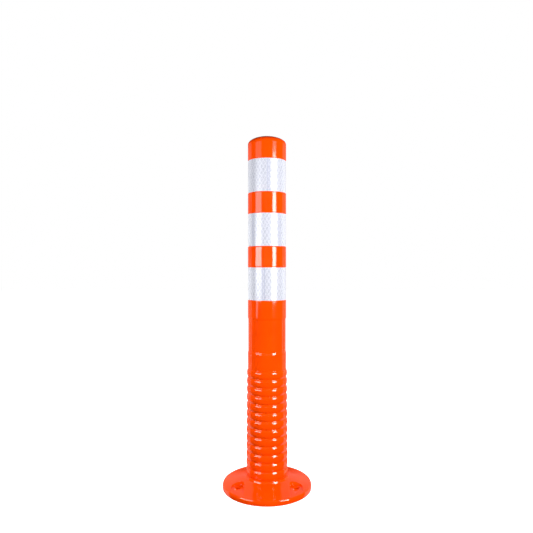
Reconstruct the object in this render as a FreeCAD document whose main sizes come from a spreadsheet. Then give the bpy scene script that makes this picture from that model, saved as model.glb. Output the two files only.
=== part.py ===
"""A flexible delineator post: a hollow moulded post that stands on a bolt-down flange.

The post bends at a ribbed stretch above the flange and springs back. Three retroreflective
sheets are wrapped round the recesses in its upper half. Millimetres, +Z up, the origin at the
centre of the flange's underside, the front towards -Y.
"""
import FreeCAD
import Part
import Sketcher

import math
import os

doc = FreeCAD.newDocument("DelineatorPost")

# ---------------------------------------------------------------- driving sizes
DRIVING = {
    # the moulded post
    "tube_diameter": 80.0,  # outside of the tube in its recesses
    "wall": 4.0,  # thickness of the tube in its recesses, round a straight bore
    "land_rise": 1.0,  # how far a land stands proud of the recesses, on the radius
    "land_round": 0.8,  # slope at each end of a land
    "crown_height": 16.5,  # height of the domed top
    "crown_shoulder": 10.0,  # radius of the dome's outer edge
    # stretches of the post, from the ribs upwards
    "foot_land": 36.15,
    "bare_recess": 71.3,  # a recess like the others, with no sheet in it
    "low_land": 39.3,
    "band_height": 70.0,
    "mid_land": 43.8,
    "top_land": 51.6,  # from the highest band to the top of the dome
    # the sheets
    "sheet_thickness": 0.5,
    # the ribbed stretch that bends
    "rib_pitch": 17.35,
    "rib_sink": 0.2,  # how far the highest valley lies below the lands, on the radius
    "rib_rise": 2.1,  # crest above valley, on the radius
    "rib_draft": 0.11,  # each rib is this much larger than the one above, on the radius
    "rib_flat": 3.0,  # length of a valley's floor
    # the flange
    "flange_diameter": 190.0,
    "rim_height": 11.5,
    "rim_round": 2.5,
    "hub_ledge": 4.9,  # from the lowest valley out to the hub's edge
    "hub_height": 26.2,
    "hub_round": 2.0,
    "base_height": 28.5,
    "bolt_circle": 140.0,
    "bolt_hole": 14.0,
    "pocket_width": 27.0,  # clears the washer of an M12 anchor bolt
}
LOWER_RIBS = 6
RING_RIBS = 1
UPPER_RIBS = 6
BOLTS = 3

sheet = doc.addObject("Spreadsheet::Sheet", "Sizes")
for row, (word, number) in enumerate(DRIVING.items(), start=1):
    sheet.set(f"A{row}", word)
    sheet.set(f"B{row}", str(number))
    sheet.setAlias(f"B{row}", word)
doc.recompute()


class Size:
    """A length that carries both its value and the sheet expression that gives it."""

    def __init__(self, value, text):
        self.value = value
        self.text = text

    def __add__(self, other):
        other = as_size(other)
        return Size(self.value + other.value, f"({self.text} + {other.text})")

    def __sub__(self, other):
        other = as_size(other)
        return Size(self.value - other.value, f"({self.text} - {other.text})")

    def __mul__(self, other):
        other = as_size(other)
        return Size(self.value * other.value, f"({self.text} * {other.text})")

    def __truediv__(self, other):
        other = as_size(other)
        return Size(self.value / other.value, f"({self.text} / {other.text})")


def as_size(number):
    """A plain number as a Size."""
    return number if isinstance(number, Size) else Size(float(number), repr(float(number)))


def named(word):
    """The driving size with this name."""
    return Size(DRIVING[word], f"Sizes.{word}")


# ---------------------------------------------------------------- sizes worked out from them
tube_r = named("tube_diameter") / 2
bore_r = tube_r - named("wall")
land_r = tube_r + named("land_rise")
slope = named("land_round")
pitch = named("rib_pitch")
all_ribs = LOWER_RIBS + RING_RIBS + UPPER_RIBS


def valley_radius(ribs_above):
    """Radius of the valley over a rib that has this many ribs above it."""
    return land_r - named("rib_sink") + named("rib_draft") * ribs_above



lower_flex_bottom = named("base_height")
ring_bottom = lower_flex_bottom + pitch * LOWER_RIBS
ring_top = ring_bottom + pitch * RING_RIBS
upper_flex_top = ring_top + pitch * UPPER_RIBS
foot_land_top = upper_flex_top + named("foot_land")
bare_recess_top = foot_land_top + named("bare_recess")
low_band_bottom = bare_recess_top + named("low_land")
low_band_top = low_band_bottom + named("band_height")
mid_band_bottom = low_band_top + named("mid_land")
mid_band_top = mid_band_bottom + named("band_height")
high_band_bottom = mid_band_top + named("mid_land")
high_band_top = high_band_bottom + named("band_height")
post_top = high_band_top + named("top_land")


# ---------------------------------------------------------------- helpers
def new_body(label):
    """An empty body with its own label."""
    body = doc.addObject("PartDesign::Body", label)
    body.Label = label
    return body


def new_sketch(body, name, plane):
    """A sketch on one of the body's own origin planes."""
    sketch = body.newObject("Sketcher::SketchObject", name)
    origin_plane = next(f for f in body.Origin.OriginFeatures if f.Role == plane)
    sketch.AttachmentSupport = (origin_plane, [""])
    sketch.MapMode = "FlatFace"
    return sketch


def drive(sketch, kind, *where, by):
    """Add a dimension to a sketch and bind it to a size."""
    index = sketch.addConstraint(Sketcher.Constraint(kind, *where, by.value))
    sketch.setExpression(f"Constraints[{index}]", by.text)


def pin_point(sketch, edge, end, x, y):
    """Hold one end of an edge at x, y. An x of None puts it on the vertical axis."""
    if x is None:
        sketch.addConstraint(Sketcher.Constraint("PointOnObject", edge, end, -2))
    else:
        drive(sketch, "DistanceX", -1, 1, edge, end, by=x)
    if y is None:
        sketch.addConstraint(Sketcher.Constraint("PointOnObject", edge, end, -1))
    else:
        drive(sketch, "DistanceY", -1, 1, edge, end, by=y)


def vector(x, y):
    """A sketch point from two sizes, where None is zero."""
    return FreeCAD.Vector(x.value if x else 0, y.value if y else 0, 0)


def arc_between(a, b, radius):
    """The short arc from a to b, which bulges to the right of the way from a to b."""
    chord = b - a
    middle = (a + b) * 0.5
    left = FreeCAD.Vector(-chord.y, chord.x, 0).normalize()
    centre = middle + left * math.sqrt(radius**2 - (chord.Length / 2) ** 2)
    start = math.atan2(a.y - centre.y, a.x - centre.x)
    end = math.atan2(b.y - centre.y, b.x - centre.x)
    circle = Part.Circle(centre, FreeCAD.Vector(0, 0, 1), radius)
    return Part.ArcOfCircle(circle, start, end)


def outline(sketch, corners):
    """A closed outline through (x, y, arc radius or None), anticlockwise. An arc goes to the next corner."""
    edges = []
    for this, after in zip(corners, corners[1:] + corners[:1]):
        a, b = vector(*this[:2]), vector(*after[:2])
        if this[2] is None:
            edges.append(sketch.addGeometry(Part.LineSegment(a, b)))
        else:
            edges.append(sketch.addGeometry(arc_between(a, b, this[2].value)))
    for this, after in zip(edges, edges[1:] + edges[:1]):
        sketch.addConstraint(Sketcher.Constraint("Coincident", this, 2, after, 1))
    for edge, (x, y, radius) in zip(edges, corners):
        pin_point(sketch, edge, 1, x, y)
        if radius is not None:
            drive(sketch, "Radius", edge, by=radius)
    return edges


def turned(body, sketch):
    """The sketch turned a full circle about Z."""
    turn = body.newObject("PartDesign::Revolution", f"{body.Label}_turned")
    turn.Profile = sketch
    turn.ReferenceAxis = (sketch, ["V_Axis"])
    turn.Angle = 360
    sketch.Visibility = False
    doc.recompute()
    return turn


# ---------------------------------------------------------------- the flange
def bolt_place(number):
    """X and Y of a bolt hole. The first is at the back, the others at the front corners."""
    angle = math.radians(90 + number * 360 / BOLTS)
    circle_r = named("bolt_circle") / 2
    return circle_r * round(math.cos(angle), 9), circle_r * round(math.sin(angle), 9)


def cut_pocket(body, number):
    """Cut the U-shaped bolt pocket, which is open to the nearer side of the mould, +Y or -Y."""
    x, y = bolt_place(number)
    half = named("pocket_width") / 2
    way = 1 if y.value > 0 else -1
    far = (named("flange_diameter") / 2 + half) * way
    right, left = x + half * way, x - half * way
    sketch = new_sketch(body, f"pocket_outline_{number}", "XY_Plane")
    sketch.AttachmentOffset.Base.z = DRIVING["rim_height"]
    sketch.setExpression("AttachmentOffset.Base.z", "Sizes.rim_height")
    wall = sketch.addGeometry(Part.LineSegment(vector(right, y), vector(right, far)))
    mouth = sketch.addGeometry(Part.LineSegment(vector(right, far), vector(left, far)))
    facing = sketch.addGeometry(Part.LineSegment(vector(left, far), vector(left, y)))
    turn = math.pi if way > 0 else 0
    circle = Part.Circle(vector(x, y), FreeCAD.Vector(0, 0, 1), half.value)
    end = sketch.addGeometry(Part.ArcOfCircle(circle, turn, turn + math.pi))
    for this, after in ((wall, mouth), (mouth, facing), (facing, end), (end, wall)):
        sketch.addConstraint(Sketcher.Constraint("Coincident", this, 2, after, 1))
    for edge, corner in ((wall, (right, y)), (mouth, (right, far)), (facing, (left, far))):
        pin_point(sketch, edge, 1, *corner)
    pin_point(sketch, end, 1, left, y)
    drive(sketch, "DistanceY", -1, 1, end, 3, by=y)
    pocket = body.newObject("PartDesign::Pocket", f"pocket_{number}")
    pocket.Profile = sketch
    pocket.Type = "Length"
    pocket.Length = DRIVING["base_height"]
    pocket.setExpression("Length", "Sizes.base_height")
    pocket.Reversed = True
    sketch.Visibility = False


def cut_bolt_holes(body):
    """Cut the holes through the floors of the pockets."""
    sketch = new_sketch(body, "bolt_hole_circles", "XY_Plane")
    radius = named("bolt_hole") / 2
    for number in range(BOLTS):
        x, y = bolt_place(number)
        circle = Part.Circle(vector(x, y), FreeCAD.Vector(0, 0, 1), radius.value)
        edge = sketch.addGeometry(circle)
        pin_point(sketch, edge, 3, x if abs(x.value) > 1e-6 else None, y)
        drive(sketch, "Radius", edge, by=radius)
    holes = body.newObject("PartDesign::Pocket", "bolt_holes")
    holes.Profile = sketch
    holes.Type = "Length"
    holes.Length = DRIVING["base_height"]
    holes.setExpression("Length", "Sizes.base_height")
    holes.Reversed = True
    sketch.Visibility = False


def base_flange():
    """The round flange: a rim, a shallow cone up to the hub, and three open bolt pockets."""
    body = new_body("base_flange")
    flange_r = named("flange_diameter") / 2
    hub_r = valley_radius(all_ribs - 1) + named("hub_ledge")
    rim, rim_round = named("rim_height"), named("rim_round")
    hub, hub_round = named("hub_height"), named("hub_round")
    top = named("base_height")
    sketch = new_sketch(body, "flange_outline", "XZ_Plane")
    outline(
        sketch,
        [
            (bore_r, None, None),
            (flange_r, None, None),
            (flange_r, rim - rim_round, rim_round),
            (flange_r - rim_round, rim, None),
            (hub_r, hub, hub_round * 1.5),
            (hub_r - hub_round, top, None),
            (bore_r, top, None),
        ],
    )
    turned(body, sketch)
    for number in range(BOLTS):
        cut_pocket(body, number)
    cut_bolt_holes(body)
    doc.recompute()
    return body


# ---------------------------------------------------------------- the ribbed stretch
def ribbed(label, bottom, ribs, ribs_above):
    """A stretch of rounded ribs on a straight bore. Ribs lower down are larger, by the draft."""
    body = new_body(label)
    flat = named("rib_flat") / 2
    rise = named("rib_rise")
    chord = pitch - named("rib_flat")
    bulge = (chord * chord / 4 + rise * rise) / (rise * 2)
    corners = [(bore_r, bottom, None)]
    for rib in range(ribs):
        valley = valley_radius(ribs_above + ribs - 1 - rib)
        low = bottom + pitch * rib
        corners.append((valley, low, None))
        corners.append((valley, low + flat, bulge))
        corners.append((valley, low + pitch - flat, None))
    corners.append((valley_radius(max(ribs_above - 1, 0)), bottom + pitch * ribs, None))
    corners.append((bore_r, bottom + pitch * ribs, None))
    sketch = new_sketch(body, f"{label}_outline", "XZ_Plane")
    outline(sketch, corners)
    turned(body, sketch)
    return body


# ---------------------------------------------------------------- the post above the ribs
def post_tube():
    """The straight tube with its lands and recesses, closed by the dome."""
    body = new_body("post_tube")
    sketch = new_sketch(body, "post_outline", "XZ_Plane")
    lands = [
        (upper_flex_top, foot_land_top),
        (bare_recess_top, low_band_bottom),
        (low_band_top, mid_band_bottom),
        (mid_band_top, high_band_bottom),
    ]
    crown_base = post_top - named("crown_height")
    corners = [(bore_r, upper_flex_top), (tube_r, upper_flex_top)]
    for low, high in lands:
        corners += [(tube_r, low)] * (low is not upper_flex_top)
        corners += [(land_r, low + slope), (land_r, high - slope), (tube_r, high)]
    corners += [(tube_r, high_band_top), (land_r, high_band_top + slope), (land_r, crown_base)]
    chain = [
        sketch.addGeometry(Part.LineSegment(vector(*a), vector(*b)))
        for a, b in zip(corners, corners[1:])
    ]
    for this, after in zip(chain, chain[1:]):
        sketch.addConstraint(Sketcher.Constraint("Coincident", this, 2, after, 1))
    for edge, corner in zip(chain, corners):
        pin_point(sketch, edge, 1, *corner)
    pin_point(sketch, chain[-1], 2, *corners[-1])

    # The dome is a shoulder arc that runs on into a wide crown arc, whose centre is on the axis.
    shoulder = named("crown_shoulder")
    rise, radius, edge_r = DRIVING["crown_height"], DRIVING["crown_shoulder"], land_r.value
    crown = ((edge_r - radius) ** 2 + rise**2 - radius**2) / (2 * (rise - radius))
    shoulder_centre = FreeCAD.Vector(edge_r - radius, crown_base.value, 0)
    crown_centre = FreeCAD.Vector(0, post_top.value - crown, 0)
    joined = math.atan2(shoulder_centre.y - crown_centre.y, shoulder_centre.x - crown_centre.x)
    up = FreeCAD.Vector(0, 0, 1)
    small = sketch.addGeometry(
        Part.ArcOfCircle(Part.Circle(shoulder_centre, up, radius), 0, joined)
    )
    large = sketch.addGeometry(
        Part.ArcOfCircle(Part.Circle(crown_centre, up, crown), joined, math.pi / 2)
    )
    sketch.addConstraint(Sketcher.Constraint("Coincident", chain[-1], 2, small, 1))
    sketch.addConstraint(Sketcher.Constraint("Tangent", small, 2, large, 1))
    sketch.addConstraint(Sketcher.Constraint("PointOnObject", large, 3, -2))
    sketch.addConstraint(Sketcher.Constraint("PointOnObject", large, 2, -2))
    drive(sketch, "Radius", small, by=shoulder)
    drive(sketch, "DistanceY", -1, 1, small, 3, by=crown_base)
    drive(sketch, "DistanceY", -1, 1, large, 2, by=post_top)

    # The inside: a flat ceiling where the dome starts, and the straight bore.
    ceiling = crown_base
    axis = sketch.addGeometry(Part.LineSegment(vector(None, post_top), vector(None, ceiling)))
    roof = sketch.addGeometry(Part.LineSegment(vector(None, ceiling), vector(bore_r, ceiling)))
    wall = sketch.addGeometry(Part.LineSegment(vector(bore_r, ceiling), vector(*corners[0])))
    sketch.addConstraint(Sketcher.Constraint("Coincident", large, 2, axis, 1))
    sketch.addConstraint(Sketcher.Constraint("Coincident", axis, 2, roof, 1))
    sketch.addConstraint(Sketcher.Constraint("Coincident", roof, 2, wall, 1))
    sketch.addConstraint(Sketcher.Constraint("Coincident", wall, 2, chain[0], 1))
    pin_point(sketch, axis, 2, None, ceiling)
    pin_point(sketch, roof, 2, bore_r, ceiling)
    turned(body, sketch)
    return body


# ---------------------------------------------------------------- the sheets
def reflective_band(label, low, high):
    """A sheet wrapped round a recess, whose edges meet the lands' slopes."""
    body = new_body(label)
    thick = named("sheet_thickness")
    sketch = new_sketch(body, f"{label}_outline", "XZ_Plane")
    outline(
        sketch,
        [
            (tube_r, low, None),
            (tube_r + thick, low, None),
            (tube_r + thick, high, None),
            (tube_r, high, None),
        ],
    )
    turned(body, sketch)
    return body


nodes = [
    base_flange(),
    ribbed("lower_flex", lower_flex_bottom, LOWER_RIBS, RING_RIBS + UPPER_RIBS),
    ribbed("middle_ring", ring_bottom, RING_RIBS, UPPER_RIBS),
    ribbed("upper_flex", ring_top, UPPER_RIBS, 0),
    post_tube(),
    reflective_band("reflective_band_lower", low_band_bottom, low_band_top),
    reflective_band("reflective_band_middle", mid_band_bottom, mid_band_top),
    reflective_band("reflective_band_upper", high_band_bottom, high_band_top),
]
doc.recompute()

# ---------------------------------------------------------------- checks and export
for item in doc.Objects:
    if {"Invalid", "Error"} & set(item.State):
        raise SystemExit(f"{item.Name} failed: {item.State}")
os.makedirs("parts", exist_ok=True)
for node in nodes:
    shape = node.Shape
    if shape.isNull() or not shape.isValid():
        raise SystemExit(f"{node.Label} has no valid shape")
    shape.exportStep(f"parts/{node.Label}.step")
    box = shape.BoundBox
    print(f"{node.Label}: {len(shape.Solids)} solid, {shape.Volume / 1000:.1f} cm3, "
          f"z {box.ZMin:.2f} to {box.ZMax:.2f}, r {box.XMax:.2f}")
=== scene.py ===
# %% [markdown]
# # A flexible delineator post
#
# This lesson dresses a packed engineering model of a road delineator post. The real post is one
# hollow moulding in orange thermoplastic polyurethane (TPU), with three white reflective sheets
# wrapped round it. It stands on a round flange and bends at a stretch of ribs when it is struck.
# The engineering model fixes every size and every moving body. This script adds the finished
# surfaces round it: rounded edges, smooth ribs that bend, the sheets' laps and the finishes.

# %% Load the frame
import math

import bmesh
import bpy
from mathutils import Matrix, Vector


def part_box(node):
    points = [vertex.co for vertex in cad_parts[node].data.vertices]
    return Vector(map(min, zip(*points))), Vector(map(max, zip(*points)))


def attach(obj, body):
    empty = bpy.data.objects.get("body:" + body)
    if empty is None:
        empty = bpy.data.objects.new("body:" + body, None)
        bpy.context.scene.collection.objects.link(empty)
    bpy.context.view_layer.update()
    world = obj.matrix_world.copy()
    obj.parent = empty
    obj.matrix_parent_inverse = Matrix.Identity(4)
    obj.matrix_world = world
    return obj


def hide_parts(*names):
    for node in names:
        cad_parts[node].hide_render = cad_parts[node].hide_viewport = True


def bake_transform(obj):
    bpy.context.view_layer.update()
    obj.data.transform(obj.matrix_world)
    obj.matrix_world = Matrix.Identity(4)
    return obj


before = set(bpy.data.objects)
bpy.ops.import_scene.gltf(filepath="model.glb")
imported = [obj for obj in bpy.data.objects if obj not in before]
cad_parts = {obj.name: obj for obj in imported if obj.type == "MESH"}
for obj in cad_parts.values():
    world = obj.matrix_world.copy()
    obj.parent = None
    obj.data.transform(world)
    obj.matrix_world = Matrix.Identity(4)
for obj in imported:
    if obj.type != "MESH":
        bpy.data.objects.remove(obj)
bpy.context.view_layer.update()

# %% [markdown]
# ## Sizes
#
# Lengths are in metres, and MM turns millimetres into them. What the engineering model knows is
# read from its boxes. The few sizes that a box can't show, such as how deep a recess is, have
# names here.

# %% Sizes
MM = 0.001

flange_low, flange_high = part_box("base_flange")
lower_low, lower_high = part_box("lower_flex")
ring_low, ring_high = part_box("middle_ring")
upper_low, upper_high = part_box("upper_flex")
tube_low, tube_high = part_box("post_tube")
bands = {
    name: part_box(name)
    for name in ("reflective_band_lower", "reflective_band_middle", "reflective_band_upper")
}

sheet_thickness = 0.5 * MM
wall = 4 * MM  # of the tube where it is recessed
land_radius = (tube_high.x - tube_low.x) / 2
sheet_radius = (bands["reflective_band_lower"][1].x - bands["reflective_band_lower"][0].x) / 2
recess_radius = sheet_radius - sheet_thickness
bore_radius = recess_radius - wall
flange_radius = (flange_high.x - flange_low.x) / 2
print(f"land radius {land_radius / MM:.2f} mm, recess radius {recess_radius / MM:.2f} mm")

# %% [markdown]
# ## How a turned shape is made
#
# Almost everything here is round about one upright axis, so it is made as on a lathe: draw half of
# the section once, then spin it. By hand that is a single point, extruded from corner to corner of
# the section, and the Spin tool. A spun section leaves doubled points where the circle closes and
# at the axis, so they are merged, and the faces are then made to point outwards.

# %% Helpers for turned shapes
STEPS = 144  # faces round a turned shape
SMOOTH_ANGLE = 40  # degrees: faces that meet more sharply than this keep a crisp edge
same_place = 0.01 * MM  # points that are nearer than this are one point
print(f"turned shapes have {STEPS} faces round them")


def deselect():
    """Leave nothing selected, so that the next tool works on its own piece."""
    if bpy.context.object and bpy.context.object.mode != "OBJECT":
        bpy.ops.object.mode_set(mode="OBJECT")
    bpy.ops.object.select_all(action="DESELECT")


def start_point(name, radius, z, turn=0.0):
    """A new mesh that is one point at a radius, a height and an angle, left in edit mode."""
    deselect()
    place = (radius * math.cos(turn), radius * math.sin(turn), z)
    bpy.ops.mesh.primitive_plane_add(size=1 * MM, location=place)
    piece = bpy.context.object
    piece.name = name
    bpy.ops.object.transform_apply(location=True, rotation=False, scale=False)
    bpy.ops.object.mode_set(mode="EDIT")
    bpy.ops.mesh.select_mode(type="VERT")
    bpy.ops.mesh.select_all(action="SELECT")
    bpy.ops.mesh.merge(type="CENTER")
    return piece


def extrude_along(outline, turn=0.0):
    """Extrude the selected point through an outline of (radius, height), at an angle."""
    for (r0, z0), (r1, z1) in zip(outline, outline[1:]):
        move = ((r1 - r0) * math.cos(turn), (r1 - r0) * math.sin(turn), z1 - z0)
        bpy.ops.mesh.extrude_vertices_move(TRANSFORM_OT_translate={"value": move})


def spin_selected(steps, angle):
    """Spin what is selected about the post's axis. The last section stays selected."""
    bpy.ops.mesh.spin(
        steps=steps, angle=angle, center=(0, 0, 0), axis=(0, 0, 1), use_auto_merge=False
    )


def turned(name, outline, turn=0.0):
    """A closed shape made by turning an outline of (radius, height) about Z, from an angle."""
    piece = start_point(name, *outline[0], turn)
    extrude_along(outline, turn)
    bpy.ops.mesh.select_all(action="SELECT")
    spin_selected(STEPS, math.tau)
    bpy.ops.mesh.select_all(action="SELECT")
    bpy.ops.mesh.remove_doubles(threshold=same_place)
    bpy.ops.mesh.normals_make_consistent(inside=False)
    bpy.ops.object.mode_set(mode="OBJECT")
    return piece


def hold_runs(outline, hold=1.2 * MM, long_run=5 * MM):
    """Add a point near each end of every long straight run of an outline.

    Smooth shading blends the light across a face. Without these points a rounded edge would
    tint the whole long face beside it.
    """
    held = []
    for (x0, z0), (x1, z1) in zip(outline, outline[1:]):
        length = math.hypot(x1 - x0, z1 - z0)
        held.append((x0, z0))
        if length > long_run:
            for share in (hold / length, 1 - hold / length):
                held.append((x0 + (x1 - x0) * share, z0 + (z1 - z0) * share))
    return held + outline[-1:]


def finish_edges(piece, width, angle=20, segments=3):
    """Round every edge that is sharper than the angle, then shade smooth between flat faces."""
    deselect()
    piece.select_set(True)
    bpy.context.view_layer.objects.active = piece
    if width:
        bevel = piece.modifiers.new("rounded_edges", "BEVEL")
        bevel.width = width
        bevel.segments = segments
        bevel.limit_method = "ANGLE"
        bevel.angle_limit = math.radians(angle)
        bevel.use_clamp_overlap = True
        bpy.ops.object.modifier_apply(modifier="rounded_edges")
    bpy.ops.object.shade_smooth_by_angle(angle=math.radians(SMOOTH_ANGLE))
    print(f"{piece.name}: {len(piece.data.polygons)} faces")


# %% [markdown]
# ## The ribbed stretch
#
# Thirteen rounded ribs run round the lower post. When a wheel knocks the post down, the ribs open
# on the outside of the bend and close on the inside. The ribs swell like a row of beads: a broad
# round crest and a narrow valley. A formula gives that shape, so one function makes all three
# stretches: six ribs that bend sideways, one rib that stays round, and six that bend forwards.
# The bore gets rings of points too, because a long straight face can't follow a bend.

# %% The ribs
rib_pitch = ring_high.z - ring_low.z
rib_rise = 2.2 * MM
valley_radius_top = 40.8 * MM
valley_radius_foot = 42.2 * MM
crest_flatness = 2.8  # 2 gives round ribs, and more gives broad crests with narrow valleys
valley_softness = 0.07  # 0 gives a sharp notch between two ribs
POINTS_PER_RIB = 24


def rib_radius(z):
    """Radius of the ribbed surface at a height."""
    share = (upper_high.z - z) / (upper_high.z - lower_low.z)
    valley = valley_radius_top + (valley_radius_foot - valley_radius_top) * share
    ribs_up = (z - lower_low.z) / rib_pitch
    from_valley = 2 * abs(ribs_up - round(ribs_up))
    softened = math.hypot(from_valley, valley_softness) - valley_softness
    softened /= math.hypot(1, valley_softness) - valley_softness
    return valley + rib_rise * (1 - (1 - softened) ** crest_flatness)


def ribbed(name, low, high):
    """A ribbed stretch between two heights, with its bore."""
    count = round((high - low) / rib_pitch) * POINTS_PER_RIB
    heights = [low + (high - low) * step / count for step in range(count + 1)]
    outside = [(rib_radius(z), z) for z in heights]
    inside = [(bore_radius, z) for z in reversed(heights[::2])]
    piece = turned(name, outside + inside + outside[:1])
    finish_edges(piece, width=0)
    return piece


lower_ribs = ribbed("lower_ribs", lower_low.z, lower_high.z)
middle_rib = ribbed("middle_rib", ring_low.z, ring_high.z)
upper_ribs = ribbed("upper_ribs", upper_low.z, upper_high.z)

# %% [markdown]
# ## The tube
#
# Above the ribs the post is a plain tube. Raised lands guard the edges of the sheets in the
# recesses between them, and the lowest recess is left bare. The top is a low dome. Its section is
# close to half an ellipse, so it is drawn with one. A low swelling at its middle marks where the
# plastic entered the mould.

# %% The tube
foot_land = 36.15 * MM  # from the tube's foot up to the bare recess
bare_recess = 71.3 * MM  # the height of the recess that holds no sheet
crown_height = 16.5 * MM
stub_radius = 3.2 * MM  # of the swelling on the crown
stub_height = 0.35 * MM
land_slope = 3.4 * MM  # a land falls gently into the bare recess, and catches a short highlight
sheet_edge = 0.7 * MM  # but it falls steeply beside a sheet
CROWN_STEPS = 26
STUB_STEPS = 8


def tube_outline():
    """Half of the tube's section: from the axis, down the bore, up the outside, to the axis."""
    foot = tube_low.z
    ordered = [bands[name] for name in sorted(bands, key=lambda name: bands[name][0].z)]
    recesses = [(foot + foot_land, foot + foot_land + bare_recess, land_slope)]
    recesses += [(low.z, high.z, sheet_edge) for low, high in ordered]
    crown_base = tube_high.z - crown_height
    points = [(0, crown_base), (bore_radius, crown_base), (bore_radius, foot), (land_radius, foot)]
    for low, high, slope in recesses:
        spread = slope / 2 if slope == land_slope else 0
        points += [(land_radius, low - slope + spread), (recess_radius, low + spread)]
        points += [(recess_radius, high - spread), (land_radius, high + slope - spread)]
    for step in range(CROWN_STEPS):
        turn = math.pi / 2 * step / CROWN_STEPS
        points.append((land_radius * math.cos(turn), crown_base + crown_height * math.sin(turn)))
    stub_foot = tube_high.z - stub_height
    # the swelling takes the place of the crown's middle
    points = [point for point in points if point[1] < stub_foot or point[0] > stub_radius * 2]
    for step in range(STUB_STEPS + 1):
        share = step / STUB_STEPS
        swell = (1 - math.cos(math.pi * share)) / 2
        points.append((stub_radius * (1 - share), stub_foot + stub_height * swell))
    return points


tube = turned("post_tube_skin", hold_runs(tube_outline()))
finish_edges(tube, width=0.45 * MM, angle=12)

# %% [markdown]
# ## The flange
#
# The post stands on a round flange: a low rim, a shallow and slightly hollow cone, and a hub with
# a leaning wall. It could be cut from a cylinder with many bevels, but it is round all the way,
# so it is turned like the tube. Its section is drawn from arcs and straight lines first.

# %% The flange's section
rim_height = 11.5 * MM
rim_shoulder = 5.4 * MM  # above this the rim leans inwards along a broad curve
rim_lean = 9 * MM  # the radius of that curve
rim_turn = 30  # degrees along that curve
rim_round = 2 * MM  # the radius of the corner between the rim and the cone
cone_turn = 73  # degrees where that corner meets the cone
cone_hollow = 0.8 * MM
foot_round = 0.6 * MM
hub_radius = 47 * MM
hub_height = 23.6 * MM  # where the cone meets the hub's wall
hub_lean = 15 * MM  # the radius of the hub's leaning wall
hub_turns = (16, 30)  # degrees at the foot and at the head of that wall
hub_round = 1.3 * MM
hub_top = flange_high.z
ledge_inset = 0.3 * MM  # the ledge reaches this far in under the first rib
ARC_STEPS = 6
HUB_STEPS = 5
CONE_STEPS = 12


def arc(centre, radius, start, end, steps=ARC_STEPS):
    """Points along an arc in the section, from one angle in degrees to another."""
    turns = [math.radians(start + (end - start) * step / steps) for step in range(steps + 1)]
    return [(centre[0] + radius * math.cos(t), centre[1] + radius * math.sin(t)) for t in turns]


def toward_centre(point, radius, angle):
    """The centre of an arc that passes through a point, at an angle in degrees."""
    turn = math.radians(angle)
    return point[0] - radius * math.cos(turn), point[1] - radius * math.sin(turn)


def flange_outline():
    """Half of the flange's section: rim, slightly hollow cone, hub wall and ledge."""
    rim = arc((flange_radius - rim_lean, rim_shoulder), rim_lean, 0, rim_turn)
    corner = toward_centre(rim[-1], rim_round, rim_turn)
    rim += arc(corner, rim_round, rim_turn, cone_turn)[1:]
    foot_turn, head_turn = hub_turns
    hub_centre = toward_centre((hub_radius, hub_height), hub_lean, foot_turn)
    hub = arc(hub_centre, hub_lean, foot_turn, head_turn, HUB_STEPS)
    head = toward_centre(hub[-1], hub_round, head_turn)
    hub += arc(head, hub_round, head_turn, 90)[1:]
    cone = []
    for step in range(1, CONE_STEPS):
        share = step / CONE_STEPS
        sag = -cone_hollow * math.sin(math.pi * share)
        cone.append(
            (rim[-1][0] + (hub[0][0] - rim[-1][0]) * share,
             rim[-1][1] + (hub[0][1] - rim[-1][1]) * share + sag)
        )
    ledge_radius = valley_radius_foot - ledge_inset
    ledge = [(ledge_radius, hub[-1][1]), (ledge_radius, hub_top)]
    bore = [(bore_radius, hub_top), (bore_radius, 0)]
    foot = [(flange_radius - foot_round, 0), (flange_radius, foot_round)]
    return foot + rim + cone + hub + ledge + bore + foot[:1]


half_step = math.pi / STEPS  # so that no line of points runs through a bolt hole's middle
flange = turned("flange", hold_runs(flange_outline()), half_step)
print(f"{flange.name}: {len(flange.data.polygons)} faces before it is cut")

# %% [markdown]
# ## Pockets and bolt holes
#
# Three U-shaped pockets give an anchor bolt's washer a flat seat. They open along the way that
# the mould opens, two to the front and one to the back. A Boolean takes away each pocket with a
# cutter: a cylinder over the bolt hole, whose outer half is drawn out past the rim. A Boolean
# also leaves crowded points where two surfaces cross, and a bevel stops at those. So they are
# merged along each wall before the edges are rounded.

# %% Pockets and bolt holes
bolt_circle_radius = 70 * MM
bolt_angles = (90, 210, 330)  # degrees
bolt_hole_radius = 7 * MM
pocket_half_width = 13.5 * MM
pocket_reach = 1.2  # a pocket's cutter ends this far out, in flange radii
pocket_weld = 1.1 * MM  # points on a pocket's wall that are nearer than this are merged
hole_weld = 0.6 * MM
on_wall = 0.06 * MM  # a point this near to a wall belongs to it
POCKET_STEPS = 48
HOLE_STEPS = 40


def cut_away(piece, cutter):
    """Take a cutter's shape out of a piece, and delete the cutter."""
    deselect()
    piece.select_set(True)
    bpy.context.view_layer.objects.active = piece
    cut = piece.modifiers.new("cut", "BOOLEAN")
    cut.operation = "DIFFERENCE"
    cut.solver = "EXACT"
    cut.object = cutter
    bpy.ops.object.modifier_apply(modifier="cut")
    bpy.data.objects.remove(cutter, do_unlink=True)


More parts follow.
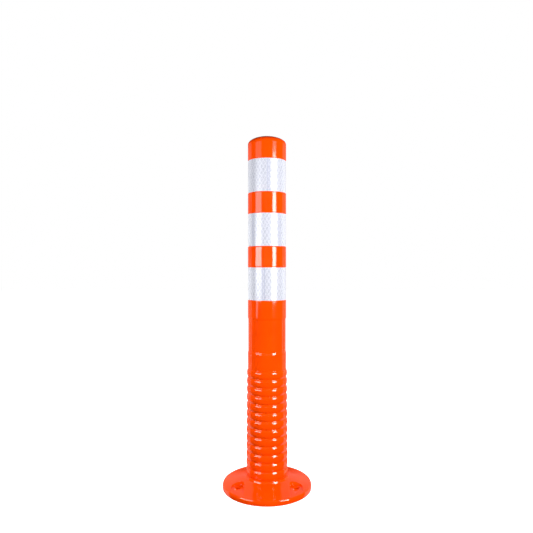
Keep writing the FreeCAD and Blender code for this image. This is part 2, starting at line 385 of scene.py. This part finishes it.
def pocket_cutter(place, way):
    """A U-shaped cutter over a bolt hole, running out to the rim along Y."""
    deselect()
    bpy.ops.mesh.primitive_cylinder_add(
        vertices=POCKET_STEPS, radius=pocket_half_width, depth=hub_top,
        location=(*place, rim_height + hub_top / 2),
    )
    cutter = bpy.context.object
    bpy.ops.object.transform_apply(location=True, rotation=False, scale=False)
    bpy.ops.object.mode_set(mode="EDIT")
    bpy.ops.mesh.select_mode(type="VERT")
    bpy.ops.mesh.select_all(action="DESELECT")
    edit = bmesh.from_edit_mesh(cutter.data)
    for vertex in edit.verts:
        vertex.select = (vertex.co.y - place[1]) * way > 0.001 * MM
    bmesh.update_edit_mesh(cutter.data)
    rim_line = (place[0], flange_radius * pocket_reach * way, 0)
    bpy.ops.transform.resize(value=(1, 0, 1), center_override=rim_line)
    bpy.ops.object.mode_set(mode="OBJECT")
    return cutter


def weld_cut(piece, place, way):
    """Merge the crowded points along a pocket's wall and a hole's, so that they can be rounded."""
    deselect()
    piece.select_set(True)
    bpy.context.view_layer.objects.active = piece
    bpy.ops.object.mode_set(mode="EDIT")
    bpy.ops.mesh.select_mode(type="VERT")
    walls = ((pocket_half_width, pocket_weld), (bolt_hole_radius, hole_weld))
    for wall_radius, nearest in walls:
        bpy.ops.mesh.select_all(action="DESELECT")
        edit = bmesh.from_edit_mesh(piece.data)
        for vertex in edit.verts:
            aside, beyond = vertex.co.x - place[0], (vertex.co.y - place[1]) * way
            straight = beyond > 0 and wall_radius == pocket_half_width
            from_middle = abs(aside) if straight else math.hypot(aside, beyond)
            vertex.select = abs(from_middle - wall_radius) < on_wall
        bmesh.update_edit_mesh(piece.data)
        bpy.ops.mesh.remove_doubles(threshold=nearest)
    bpy.ops.object.mode_set(mode="OBJECT")


def bolt_places():
    """Where the bolt holes are, with the way that each one's pocket opens."""
    for angle in bolt_angles:
        turn = math.radians(angle)
        place = (bolt_circle_radius * math.cos(turn), bolt_circle_radius * math.sin(turn))
        yield place, 1 if place[1] > 0 else -1


for place, way in bolt_places():
    cut_away(flange, pocket_cutter(place, way))
    deselect()
    bpy.ops.mesh.primitive_cylinder_add(
        vertices=HOLE_STEPS, radius=bolt_hole_radius, depth=4 * rim_height, location=(*place, 0)
    )
    cut_away(flange, bpy.context.object)
    weld_cut(flange, place, way)
finish_edges(flange, width=0.4 * MM, angle=28, segments=2)

# %% [markdown]
# ## The sheets
#
# Each sheet is half a millimetre thick and is wound once round its recess, and its end laps over
# its start at the back of the post. A full turn of the Spin tool would meet itself edge to edge,
# so the wrap is made as it is wound: a small section spins almost all the way round, climbs by one
# thickness in one short step, and spins on over its own start. Both cut ends are then closed.

# %% The sheets
lap = 9 * MM  # how far a sheet's end goes over its start
sheet_gap = 0.5 * MM  # between a sheet's edge and the foot of a land
layer_gap = 0.01 * MM  # between two layers, so that they never share a surface
lap_starts = {  # degrees round the post, a little different on each sheet
    "reflective_band_lower": 84,
    "reflective_band_middle": 91,
    "reflective_band_upper": 87,
}
LAP_STEPS = 6


def wrapped_sheet(name, low, high, start):
    """A sheet wound once round its recess from an angle in degrees, lapped over its start."""
    turn = math.radians(start)
    inner, outer = recess_radius + layer_gap, sheet_radius
    bottom, top = low.z + sheet_gap, high.z - sheet_gap
    outline = [(inner, bottom), (outer, bottom), (outer, top), (inner, top), (inner, bottom)]
    piece = start_point(name, *outline[0], turn)
    extrude_along(outline, turn)
    bpy.ops.mesh.select_all(action="SELECT")
    bpy.ops.mesh.remove_doubles(threshold=layer_gap / 2)
    step = math.tau / STEPS
    spin_selected(STEPS - 2, math.tau - 2 * step)
    spin_selected(1, step)
    climb = (outer + layer_gap) / inner
    bpy.ops.transform.resize(value=(climb, climb, 1), center_override=(0, 0, 0))
    spin_selected(LAP_STEPS, step + lap / outer)
    bpy.ops.mesh.edge_face_add()
    bpy.ops.mesh.select_all(action="DESELECT")
    edit = bmesh.from_edit_mesh(piece.data)
    start_way = Vector((math.cos(turn), math.sin(turn)))
    for vertex in edit.verts:
        flat = vertex.co.xy
        on_start = (flat.normalized() - start_way).length < step / 8
        vertex.select = on_start and flat.length < outer + layer_gap / 2
    bmesh.update_edit_mesh(piece.data)
    print(f"{name}: {sum(vertex.select for vertex in edit.verts)} points at its start")
    bpy.ops.mesh.edge_face_add()
    bpy.ops.mesh.select_all(action="SELECT")
    bpy.ops.mesh.normals_make_consistent(inside=False)
    bpy.ops.object.mode_set(mode="OBJECT")
    finish_edges(piece, width=0.1 * MM, angle=35, segments=1)
    return piece


sheets = {
    name: wrapped_sheet(name + "_sheet", *box, lap_starts[name]) for name, box in bands.items()
}

# %% [markdown]
# ## Colours and nodes
#
# A colour picked on a screen is an sRGB hex value, and shaders work in linear light, so one
# function converts them. Every node is added by one other function, which also sets or links its
# inputs, so a material reads as a list of its steps.

# %% Colour and node helpers
def linear(hex_colour):
    """An sRGB hex colour as the linear colour that shaders use."""
    parts = [int(hex_colour[i : i + 2], 16) / 255 for i in (1, 3, 5)]
    return [c / 12.92 if c <= 0.04045 else ((c + 0.055) / 1.055) ** 2.4 for c in parts] + [1.0]


def add(tree, kind, inputs=None, **settings):
    """Add a node, set its properties, and set or link its inputs by name or by place.

    An input is linked when it is given another node, by its first output, or one of a node's
    outputs. Anything else is its value.
    """
    made = tree.nodes.new(kind)
    for name, value in settings.items():
        setattr(made, name, value)
    for name, value in (inputs or {}).items():
        if isinstance(value, bpy.types.Node):
            value = value.outputs[0]
        if isinstance(value, bpy.types.NodeSocket):
            tree.links.new(value, made.inputs[name])
        else:
            made.inputs[name].default_value = value
    return made


def new_material(name):
    """An empty node material, its tree and its output node."""
    material = bpy.data.materials.new(name)
    material.use_nodes = True
    tree = material.node_tree
    tree.nodes.clear()
    return material, tree, add(tree, "ShaderNodeOutputMaterial")


def set_ramp(ramp, *stops):
    """Give a colour ramp its stops, each a place from 0 to 1 and a hex colour."""
    elements = ramp.color_ramp.elements
    for _ in range(len(stops) - 2):
        elements.new(0.5)
    for element, (place, colour) in zip(elements, stops):
        element.position = place
        element.color = linear(colour)


print("signal orange in linear light:", [round(part, 3) for part in linear("#F34800")])

# %% [markdown]
# ## Moulded TPU
#
# The post and its flange are injection-moulded thermoplastic polyurethane, coloured through in a
# signal orange, from a polished steel mould. To the eye that is a saturated colour under a clear,
# tight gloss, so the roughness is low and the IOR is the plastic's own, 1.5. A long moulding is
# never quite true: it shrinks unevenly as it cools, so highlights waver along it. That is a broad
# shallow bump. A much finer one gives the faint grain, and the gloss varies a little where the
# surface has been handled. The bumps' distances are in metres, like the model.

# %% Moulded TPU
plastic_ior = 1.5
flow_size = 45 * MM  # of the patches where colour and gloss differ a little
flow_low, flow_high = 0.3, 0.7  # most of the flow pattern lies between these
polish = (0.06, 0.1)  # the roughness, from the most polished to the most handled
shrink_waves = 26 * MM  # from one slow wave to the next
shrink_depth = 0.035 * MM
mould_grain = 0.8 * MM
grain_depth = 0.0025 * MM


def moulded_tpu():
    """Orange thermoplastic polyurethane, as it comes out of a polished mould."""
    material, tree, output = new_material("injection_moulded_tpu")
    where = add(tree, "ShaderNodeTexCoord").outputs["Object"]
    flow = add(
        tree, "ShaderNodeTexNoise", {"Vector": where, "Scale": 1 / flow_size, "Detail": 3.0}
    )
    colour = add(tree, "ShaderNodeValToRGB", {"Fac": flow})
    set_ramp(colour, (flow_low, "#EE4200"), (flow_high, "#F34800"))
    waves = add(
        tree, "ShaderNodeTexNoise", {"Vector": where, "Scale": 1 / shrink_waves, "Detail": 1.5}
    )
    grain = add(
        tree, "ShaderNodeTexNoise", {"Vector": where, "Scale": 1 / mould_grain, "Detail": 2.0}
    )
    waver = add(tree, "ShaderNodeBump", {"Height": waves, "Distance": shrink_depth})
    fine = add(
        tree, "ShaderNodeBump",
        {"Height": grain, "Distance": grain_depth, "Normal": waver},
    )
    gloss = add(
        tree, "ShaderNodeMapRange",
        {
            "Value": flow, "From Min": flow_low, "From Max": flow_high,
            "To Min": polish[0], "To Max": polish[1],
        },
    )
    shader = add(
        tree, "ShaderNodeBsdfPrincipled",
        {
            "Base Color": colour,
            "Roughness": gloss,
            "IOR": plastic_ior,
            "Normal": fine,
        },
    )
    tree.links.new(shader.outputs["BSDF"], output.inputs["Surface"])
    return material


tpu = moulded_tpu()
print(f"{tpu.name}: {len(tpu.node_tree.nodes)} nodes")

# %% [markdown]
# ## Prismatic sheeting
#
# The sheets are flexible prismatic retroreflective film: rows of tiny plastic prisms, with air
# behind them, sealed to a white backing along a lattice of lozenges. The air cells look silvery
# grey, the seals between them look white, and the clear top film is a little glossy. A real
# prism sends light back where it came from, which a plain shader can't do, so a little metal
# gives the cells their silver and a sheen keeps the sheet pale toward the tube's edges.
#
# An image could carry the lattice, but a pattern of nodes stays sharp at any size. It must go
# round the post, so it is drawn on two measures worked out from the place on the surface: the
# arc along the circumference and the height. One family of lines counts upwards round the post
# and the other downwards, and the seals lie wherever either of them does. Fine upright lines are
# the joints of the tool that embossed the film.

# %% The pattern on the film
lozenges_round = 33  # a whole number, so that the lattice closes round the post
lozenge_width = math.tau * sheet_radius / lozenges_round
lozenge_height = 13.6 * MM
seal_edge, seal_core = 0.38, 0.45  # where a seal starts and is full, in cells from the middle
sheet_pitch = bands["reflective_band_middle"][0].z - bands["reflective_band_lower"][0].z
# the joints move along between two sheets, and never halfway up one
sheets_foot = bands["reflective_band_lower"][0].z - 10 * MM
tool_joint_spacing = 61 * MM
tool_joint_gap = 3.8 * MM  # between the two lines of a pair
tool_joint_width = 0.8 * MM
tool_joint_start = 37.5 * MM
tool_joint_shift = -35.3 * MM  # from one sheet to the next


def seal_lines(tree, along, up, operation):
    """1 on the seals that run one way across the lattice, and 0 in the cells between them."""
    across = add(tree, "ShaderNodeMath", {0: along, 1: up}, operation=operation)
    repeat = add(tree, "ShaderNodeMath", {0: across}, operation="FRACT")
    centred = add(tree, "ShaderNodeMath", {0: repeat, 1: 0.5}, operation="SUBTRACT")
    from_middle = add(tree, "ShaderNodeMath", {0: centred}, operation="ABSOLUTE")
    return add(
        tree, "ShaderNodeMapRange",
        {"Value": from_middle, "From Min": seal_edge, "From Max": seal_core},
        interpolation_type="SMOOTHSTEP",
    )


def tool_joints(tree, arc_length, height):
    """1 on the pairs of fine upright lines, which fall in another place on each sheet."""
    above = add(tree, "ShaderNodeMath", {0: height, 1: sheets_foot}, operation="SUBTRACT")
    number = add(tree, "ShaderNodeMath", {0: above, 1: sheet_pitch}, operation="DIVIDE")
    number = add(tree, "ShaderNodeMath", {0: number}, operation="FLOOR")
    shifted = add(
        tree, "ShaderNodeMath", {0: number, 1: tool_joint_shift, 2: arc_length},
        operation="MULTIPLY_ADD",
    )
    shifted = add(tree, "ShaderNodeMath", {0: shifted, 1: tool_joint_start}, operation="ADD")
    repeat = add(tree, "ShaderNodeMath", {0: shifted, 1: tool_joint_spacing}, operation="DIVIDE")
    repeat = add(tree, "ShaderNodeMath", {0: repeat}, operation="FRACT")
    centred = add(tree, "ShaderNodeMath", {0: repeat, 1: 0.5}, operation="SUBTRACT")
    from_middle = add(tree, "ShaderNodeMath", {0: centred}, operation="ABSOLUTE")
    from_line = add(
        tree, "ShaderNodeMath", {0: from_middle, 1: tool_joint_gap / 2 / tool_joint_spacing},
        operation="SUBTRACT",
    )
    from_line = add(tree, "ShaderNodeMath", {0: from_line}, operation="ABSOLUTE")
    return add(
        tree, "ShaderNodeMapRange",
        {
            "Value": from_line, "From Min": tool_joint_width / tool_joint_spacing,
            "From Max": tool_joint_width / 2 / tool_joint_spacing,
        },
        interpolation_type="SMOOTHSTEP",
    )


print(f"lozenges of {lozenge_width / MM:.1f} by {lozenge_height / MM:.1f} mm")

# %% [markdown]
# ## The film itself
#
# The pattern now drives the finish. Every prism catches the light a little differently, so each
# cell of a Voronoi pattern gets its own grey and its own roughness. Prisms are a third of a
# millimetre across in reality, and are drawn three times as coarse so that they show at all. The
# seals are drawn whiter and lie a little lower, which a bump shows.

# %% Prismatic sheeting
prism = 1.0 * MM
seal_depth = 0.02 * MM  # how far the top film is drawn down along a seal
cell_silver, seal_silver = 0.09, 0.03  # how metallic the cells and the seals are
film_roughness = (0.24, 0.36)  # from one prism to the next
FACTOR, FIRST, SECOND, BLEND = 0, 6, 7, 2  # a colour Mix node's inputs and output, by place


def prismatic_sheeting():
    """Clear film over silvery prisms, sealed to a white backing along a lattice."""
    material, tree, output = new_material("prismatic_sheeting")
    where = add(tree, "ShaderNodeTexCoord").outputs["Object"]
    place = add(tree, "ShaderNodeSeparateXYZ", {"Vector": where}).outputs
    forwards = add(tree, "ShaderNodeMath", {0: place["Y"], 1: -1.0}, operation="MULTIPLY")
    turn = add(tree, "ShaderNodeMath", {0: place["X"], 1: forwards}, operation="ARCTAN2")
    arc_length = add(tree, "ShaderNodeMath", {0: turn, 1: sheet_radius}, operation="MULTIPLY")
    along = add(tree, "ShaderNodeMath", {0: arc_length, 1: lozenge_width}, operation="DIVIDE")
    up = add(tree, "ShaderNodeMath", {0: place["Z"], 1: lozenge_height}, operation="DIVIDE")
    seals = add(
        tree, "ShaderNodeMath",
        {0: seal_lines(tree, along, up, "ADD"), 1: seal_lines(tree, along, up, "SUBTRACT")},
        operation="MAXIMUM",
    )
    prisms = add(tree, "ShaderNodeTexVoronoi", {"Vector": where, "Scale": 1 / prism})
    sparkle = add(tree, "ShaderNodeSeparateColor", {"Color": prisms.outputs["Color"]})
    cell = add(tree, "ShaderNodeValToRGB", {"Fac": sparkle})
    set_ramp(cell, (0.0, "#AEB1BF"), (0.5, "#B8BAC7"), (1.0, "#C2C4CF"))
    film = add(
        tree, "ShaderNodeMix", {FACTOR: seals, FIRST: cell, SECOND: linear("#CACCD5")},
        data_type="RGBA",
    ).outputs[BLEND]
    joints = tool_joints(tree, arc_length, place["Z"])
    marked = add(
        tree, "ShaderNodeMix", {FACTOR: joints, FIRST: film, SECOND: linear("#A6AAC0")},
        data_type="RGBA",
    ).outputs[BLEND]
    silver = add(
        tree, "ShaderNodeMapRange",
        {"Value": seals, "To Min": cell_silver, "To Max": seal_silver},
    )
    roughness = add(
        tree, "ShaderNodeMapRange",
        {"Value": sparkle, "To Min": film_roughness[0], "To Max": film_roughness[1]},
    )
    height = add(tree, "ShaderNodeBump", {"Height": seals, "Distance": -seal_depth})
    shader = add(
        tree, "ShaderNodeBsdfPrincipled",
        {
            "Base Color": marked, "Metallic": silver, "Roughness": roughness,
            "IOR": plastic_ior, "Normal": height, "Sheen Weight": 0.45, "Sheen Roughness": 0.5,
        },
    )
    tree.links.new(shader.outputs["BSDF"], output.inputs["Surface"])
    return material


sheeting = prismatic_sheeting()
for piece, material in [
    *((piece, tpu) for piece in (lower_ribs, middle_rib, upper_ribs, tube, flange)),
    *((piece, sheeting) for piece in sheets.values()),
]:
    piece.data.materials.clear()
    piece.data.materials.append(material)
print("finishes:", tpu.name, sheeting.name)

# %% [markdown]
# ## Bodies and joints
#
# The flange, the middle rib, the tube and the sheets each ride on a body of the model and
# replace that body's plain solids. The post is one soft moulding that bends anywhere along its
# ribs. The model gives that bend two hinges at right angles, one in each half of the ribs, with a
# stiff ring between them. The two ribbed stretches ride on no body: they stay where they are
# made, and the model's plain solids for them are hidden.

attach(flange, "base")
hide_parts("base_flange")
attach(middle_rib, "ring")
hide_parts("middle_ring")
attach(tube, "post")
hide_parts("post_tube")
for name, piece in sheets.items():
    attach(piece, "post")
    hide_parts(name)
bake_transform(lower_ribs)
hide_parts("lower_flex")
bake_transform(upper_ribs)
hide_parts("upper_flex")
print("bent stretches:", lower_ribs.name, upper_ribs.name)

# %% [markdown]
# ## The studio
#
# A glossy post is mostly a picture of what stands round it, so the studio matters as much as the
# plastic. It is built in three steps: the floor and a card, the lights, and the surroundings.
# The floor is pale and lights nothing. A low card stands close behind the post, glows white and
# shines in the flange. It fades toward its sides and its foot, so that its reflection has no
# outline.

# %% The floor and the card
floor_half = 9.0
card_half, card_behind, card_height = 0.7, 0.3, 0.72
card_even, card_faded = 0.3, 0.68  # it glows evenly to the first, and not at all at the second
card_strength = 0.34
card_foot = 0.1  # the height over which its foot fades


def staged_sheet(name, corners, colour, glow):
    """A glowing sheet of the studio, which only fills in the surroundings. Glow is a number or a
    maker.
    """
    deselect()
    bpy.ops.mesh.primitive_plane_add(size=2, location=(0, 0, 0))
    sheet = bpy.context.object
    sheet.name = name
    for vertex, corner in zip(sheet.data.vertices, corners):
        vertex.co = corner
    material, tree, output = new_material(name + "_paint")
    strength = glow(tree) if callable(glow) else glow
    shader = add(
        tree, "ShaderNodeBsdfPrincipled",
        {
            "Base Color": linear(colour), "Roughness": 0.6,
            "Emission Color": linear("#FFFFFF"), "Emission Strength": strength,
        },
    )
    tree.links.new(shader.outputs["BSDF"], output.inputs["Surface"])
    sheet.data.materials.append(material)
    sheet.visible_diffuse = False
    sheet.visible_shadow = False
    return sheet


def card_glow(tree):
    """The card's glow, which fades at both sides and at the foot."""
    where = add(tree, "ShaderNodeTexCoord").outputs["Object"]
    place = add(tree, "ShaderNodeSeparateXYZ", {"Vector": where}).outputs
    aside = add(tree, "ShaderNodeMath", {0: place["X"]}, operation="ABSOLUTE")
    across = add(
        tree, "ShaderNodeMapRange",
        {
            "Value": aside, "From Min": card_even, "From Max": card_faded,
            "To Min": card_strength, "To Max": 0.0,
        },
        interpolation_type="SMOOTHSTEP",
    )
    up = add(
        tree, "ShaderNodeMapRange", {"Value": place["Z"], "From Max": card_foot},
        interpolation_type="SMOOTHSTEP",
    )
    return add(tree, "ShaderNodeMath", {0: across, 1: up}, operation="MULTIPLY").outputs[0]


floor = staged_sheet(
    "studio_floor",
    [(x, y, 0) for y in (-floor_half, floor_half) for x in (-floor_half, floor_half)],
    "#C8C8C8", 1.0,
)
floor.visible_glossy = False
card = staged_sheet(
    "white_card",
    [(x, card_behind, z) for z in (0, card_height) for x in (-card_half, card_half)],
    "#000000", card_glow,
)
card.visible_camera = False
print("staged:", floor.name, card.name)

# %% [markdown]
# ## The lights
#
# Two tall softboxes stand in front, a narrow one on the right and a wide, weaker one on the left.
# They give the post its two upright highlights. Each is stacked from parts of its own strength,
# because a single sheet of light would be equally bright from foot to crown. Soft fills from the
# front, the sides and the back lift the colour, but show in no reflection.

# %% The lights
far = 1.5
softboxes = (  # name, azimuth, lower edge, upper edge, width, radiance, distance
    ("right", 44, 0.30, 1.03, 0.58, 21, far),
    ("right_top", 44, 1.03, 1.16, 0.58, 2.5, far),
    ("left", -52, 0.34, 0.66, 1.00, 10.5, far),
    ("left_upper", -52, 0.66, 0.93, 1.00, 4.7, far),
    ("left_top", -52, 0.93, 1.12, 1.00, 1.3, far),
    ("left_low", -62, 0.22, 0.34, 0.3, 3.0, far),
)
fills = (  # the same columns
    ("front_fill", 5, 0.40, 0.85, 1.6, 2.4, 1.0),
    ("left_fill", -125, 0.05, 0.64, 0.5, 8.5, 0.7),
    ("right_fill", 128, 0.05, 0.95, 1.0, 8.0, far),
    ("rear_fill", 180, 0.55, 0.95, 1.0, 2.0, far),
    ("rear_low_fill", 180, 0.20, 0.45, 1.4, 6.0, far),
)


def softbox(name, azimuth, low, high, width, radiance, distance):
    """A softbox facing the post. Azimuth 0 is the front, and 90 is the right."""
    turn = math.radians(azimuth)
    light = bpy.data.lights.new(name, "AREA")
    light.shape = "RECTANGLE"
    light.size = width
    light.size_y = high - low
    light.energy = radiance * math.pi * width * (high - low)
    box = bpy.data.objects.new(name, light)
    bpy.context.scene.collection.objects.link(box)
    box.location = (math.sin(turn) * distance, -math.cos(turn) * distance, (low + high) / 2)
    box.rotation_euler = (math.radians(90), 0, turn)
    return box


for row in softboxes:
    softbox(*row)
for row in fills:
    softbox(*row).visible_glossy = False
print("lights:", len(softboxes), "softboxes and", len(fills), "fills")

# %% [markdown]
# ## The surroundings
#
# White paper hangs far behind the post and lights both edges of the tube. It is weaker straight
# behind and ends a little above the horizon. Everything overhead and in front is dark, which
# keeps the orange deep. The camera itself sees plain white.

# %% The surroundings
paper_sides = (0.26, 0.36)  # where the paper starts and is full, as the backward part of the way
paper_top = (0.16, 0.34)  # where it starts to fade and ends, as the upward part
paper_turn = (0.3, 1.0)  # the backward part of the way, from its sides to straight behind
paper_glow, paper_middle_glow = 0.8, 0.25  # toward its sides, and straight behind
dark_glow = 0.02


def studio_world():
    """Pale paper behind the post, and dark everywhere else. The camera sees plain white."""
    world = bpy.data.worlds.new("studio")
    world.use_nodes = True
    tree = world.node_tree
    tree.nodes.clear()
    where = add(tree, "ShaderNodeTexCoord").outputs["Generated"]
    way = add(tree, "ShaderNodeSeparateXYZ", {"Vector": where}).outputs
    side = add(
        tree, "ShaderNodeMapRange",
        {"Value": way["Y"], "From Min": paper_sides[0], "From Max": paper_sides[1]},
        interpolation_type="SMOOTHSTEP",
    )
    straight_behind = add(
        tree, "ShaderNodeMapRange",
        {
            "Value": way["Y"], "From Min": paper_turn[0], "From Max": paper_turn[1],
            "To Min": paper_glow, "To Max": paper_middle_glow,
        },
        interpolation_type="SMOOTHSTEP",
    )
    below_top = add(
        tree, "ShaderNodeMapRange",
        {
            "Value": way["Z"], "From Min": paper_top[0], "From Max": paper_top[1],
            "To Min": 1.0, "To Max": 0.0,
        },
        interpolation_type="SMOOTHSTEP",
    )
    paper = add(tree, "ShaderNodeMath", {0: side, 1: straight_behind}, operation="MULTIPLY")
    paper = add(tree, "ShaderNodeMath", {0: paper, 1: below_top}, operation="MULTIPLY")
    glow = add(tree, "ShaderNodeMath", {0: paper, 1: dark_glow}, operation="ADD")
    seen = add(tree, "ShaderNodeLightPath").outputs["Is Camera Ray"]
    strength = add(tree, "ShaderNodeMath", {0: glow, 1: seen}, operation="MAXIMUM")
    light = add(
        tree, "ShaderNodeBackground", {"Color": linear("#FFFFFF"), "Strength": strength}
    )
    add(tree, "ShaderNodeOutputWorld", {"Surface": light})
    return world


bpy.context.scene.world = studio_world()
bpy.context.scene.view_settings.view_transform = "Standard"
print("surroundings:", bpy.context.scene.world.name)

# %% [markdown]
# ## The camera
#
# The post is seen from a little over half its height, with the camera level, so its upright edges
# stay parallel. A short distance and a wide lens give the strong change of angle from the top,
# seen from slightly below, to the flange, seen from above.

# %% The camera
picture_width = 533
camera_distance = 1092.5 * MM
camera_height = 472.3 * MM

camera_data = bpy.data.cameras.new("camera")
camera_data.sensor_width = 36
camera_data.lens = 34.3
camera_data.shift_x = -0.5 / picture_width
camera = bpy.data.objects.new("camera", camera_data)
camera.location = (0, -camera_distance, camera_height)
camera.rotation_euler = (math.radians(90), 0, 0)
bpy.context.scene.collection.objects.link(camera)
bpy.context.scene.camera = camera
print(f"camera {camera_distance / MM:.1f} mm away and {camera_height / MM:.1f} mm up")
